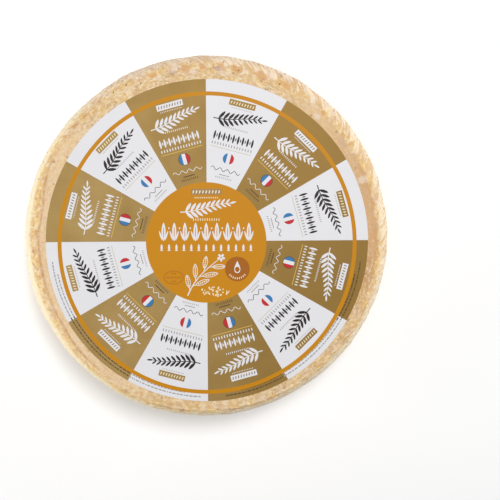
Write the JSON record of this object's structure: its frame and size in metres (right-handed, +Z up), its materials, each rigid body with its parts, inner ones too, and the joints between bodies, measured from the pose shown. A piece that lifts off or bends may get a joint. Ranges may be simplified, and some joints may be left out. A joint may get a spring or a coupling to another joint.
{
  "type": "raclette cheese wheel",
  "caption": "Whole round raclette cheese lying flat, with a pressed, uneven golden rind, softly rounded edges and a large round paper label in gold and white sectors on top.",
  "frame": {"origin": "on the wheel's axis, in the plane of the flat base that it rests on", "axes": "+Z up along the wheel's axis, +Y to the top of the label, +X to its right"},
  "size_m": [0.3012, 0.2997, 0.0759],
  "materials": {
    "rind": "dry pressed cheese rind, golden beige with orange-brown creases, matt",
    "label_paper": "printed label paper in gold and white sectors with an orange ring and disc, low sheen"
  },
  "bodies": {
    "root": {"cheese_wheel": "rind", "paper_label": "label_paper"}
  },
  "joints": []
}
